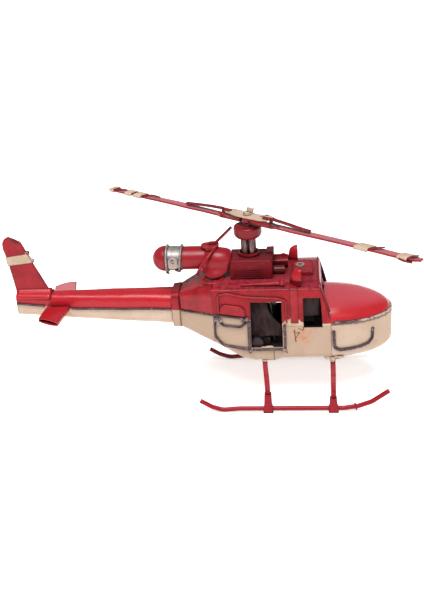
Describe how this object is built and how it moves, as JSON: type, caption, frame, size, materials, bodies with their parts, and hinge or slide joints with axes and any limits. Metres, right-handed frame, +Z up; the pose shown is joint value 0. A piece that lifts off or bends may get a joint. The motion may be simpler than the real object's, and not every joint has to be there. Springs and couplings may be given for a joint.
{
  "type": "model helicopter",
  "caption": "Hand-made tinplate model of a utility helicopter on skids, with a spinning main rotor and tail rotor and an open cabin.",
  "frame": {"origin": "centre of the whole model's box, on the surface that the skids stand on", "axes": "+X to the nose, +Y to the model's left, +Z up"},
  "size_m": [0.2936, 0.1473, 0.1438],
  "materials": {
    "red_paint": "gloss with a dark wash in the creases",
    "cream_paint": "satin, stained",
    "dark_wire": "satin",
    "dark_interior": "satin",
    "bare_metal": "worn"
  },
  "bodies": {
    "airframe": {"cabin_upper": "red_paint", "tail_cone_upper": "red_paint", "boom_collar_upper": "red_paint", "tail_boom_upper": "red_paint", "nose_dome": "red_paint", "windshield_frame": "red_paint", "door_panels": "red_paint", "roof_strap": "red_paint", "engine_cowl": "red_paint", "cowl_grille": "red_paint", "mast_collar": "red_paint", "mast_disc": "red_paint", "exhaust_tube": "red_paint", "exhaust_cap": "red_paint", "exhaust_elbow": "red_paint", "elbow_flange": "red_paint", "elbow_wrap": "red_paint", "antenna_rod": "red_paint", "air_chute": "red_paint", "intake_hoods": "red_paint", "roof_box": "red_paint", "side_rods": "red_paint", "tail_fin": "red_paint", "fin_angles": "red_paint", "tail_planes": "red_paint", "skid_right": "red_paint", "skid_left": "red_paint", "cross_strut_rear": "red_paint", "cross_strut_front": "red_paint", "skid_clamps": "red_paint", "cabin_tub": "cream_paint", "tail_cone_lower": "cream_paint", "boom_collar_lower": "cream_paint", "tail_boom_lower": "cream_paint", "nose_pan": "cream_paint", "fin_band": "cream_paint", "nose_rim_wire": "dark_wire", "door_wires": "dark_wire", "seam_wires": "dark_wire", "nose_handles": "dark_wire", "mast_rods": "dark_wire", "cabin_floor": "dark_interior", "rear_bulkhead": "dark_interior", "rear_seat": "dark_interior", "front_seats": "dark_interior", "floor_drum": "dark_interior", "roof_pipe": "dark_interior", "exhaust_band": "bare_metal", "band_rings": "bare_metal", "eyelets": "bare_metal", "rotor_pin": "bare_metal", "tail_rotor_pin": "bare_metal"},
    "main_rotor": {"rotor_blade_front": "red_paint", "rotor_blade_rear": "red_paint", "rotor_hub": "red_paint", "centre_plate": "cream_paint", "stabiliser_bars": "red_paint", "bar_brackets": "red_paint", "blade_bands": "cream_paint"},
    "tail_rotor_body": {"tail_rotor": "red_paint"}
  },
  "joints": [
    {"name": "main_rotor_spin", "type": "hinge", "parent": "airframe", "child": "main_rotor", "pos_m": [0.03398, 0, 0.135], "axis": [0, 0, 1], "continuous": true},
    {"name": "tail_rotor_spin", "type": "hinge", "parent": "airframe", "child": "tail_rotor_body", "pos_m": [-0.13442, 0.0042, 0.105], "axis": [0, 1, 0], "continuous": true}
  ]
}
